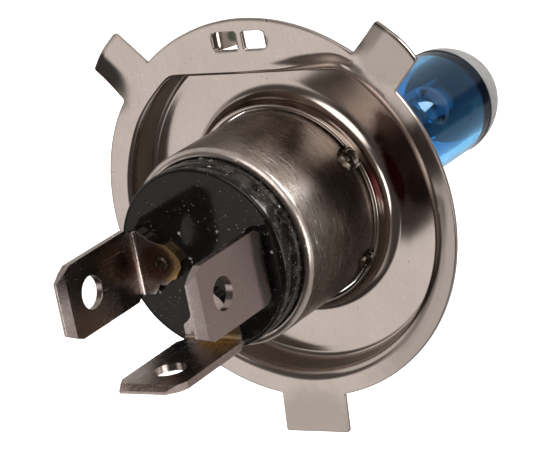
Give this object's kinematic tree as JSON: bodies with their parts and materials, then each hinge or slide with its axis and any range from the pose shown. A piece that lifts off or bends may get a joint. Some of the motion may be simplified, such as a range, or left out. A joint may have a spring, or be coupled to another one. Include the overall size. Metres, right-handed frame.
{
  "type": "headlight bulb",
  "caption": "Twin filament halogen headlight bulb: blue glass, stamped lug ring with a dished centre, crimped sleeve, black insulator and flat blade terminals.",
  "frame": {"origin": "on the lamp axis, in the seat plane of the ring (the brim's glass side face)", "axes": "+Y along the lamp axis towards the glass tip, +Z towards the straight wall of the dish, -Z towards the wide lug and the level blade"},
  "size_m": [0.043, 0.0763, 0.0471],
  "materials": {
    "ring_metal": "satin nickel plated sheet",
    "sleeve_metal": "satin drawn steel with fine grain and heat tint at the welds",
    "terminal_metal": "rolled strip, satin, heat tinted at the feet",
    "weld_metal": "rough dark weld metal",
    "insulator_black": "glossy moulded black, dusty",
    "clamp_metal": "satin sheet",
    "blue_glass": "clear hard glass with a blue filter coat",
    "tip_paint": "opaque light grey coat",
    "tungsten": "drawn wire",
    "molybdenum": "drawn wire and pressed sheet",
    "seal_foil": "thin foil",
    "lead_metal": "plated wire"
  },
  "bodies": {
    "root": {"focus_ring": "ring_metal", "ring_welds": "weld_metal", "base_sleeve": "sleeve_metal", "base_insulator": "insulator_black", "blade_left": "terminal_metal", "blade_right": "terminal_metal", "blade_low": "terminal_metal", "terminal_welds": "weld_metal", "bulb_clamp": "clamp_metal", "clamp_welds": "weld_metal", "glass_envelope": "blue_glass", "tip_coating": "tip_paint", "low_beam_filament": "tungsten", "high_beam_filament": "tungsten", "shield_cup": "molybdenum", "common_support_wire": "molybdenum", "low_support_wire": "molybdenum", "high_support_wire": "molybdenum", "shield_weld": "molybdenum", "foil_common": "seal_foil", "foil_low": "seal_foil", "foil_high": "seal_foil", "lead_common": "lead_metal", "lead_low": "lead_metal", "lead_high": "lead_metal"}
  },
  "joints": []
}
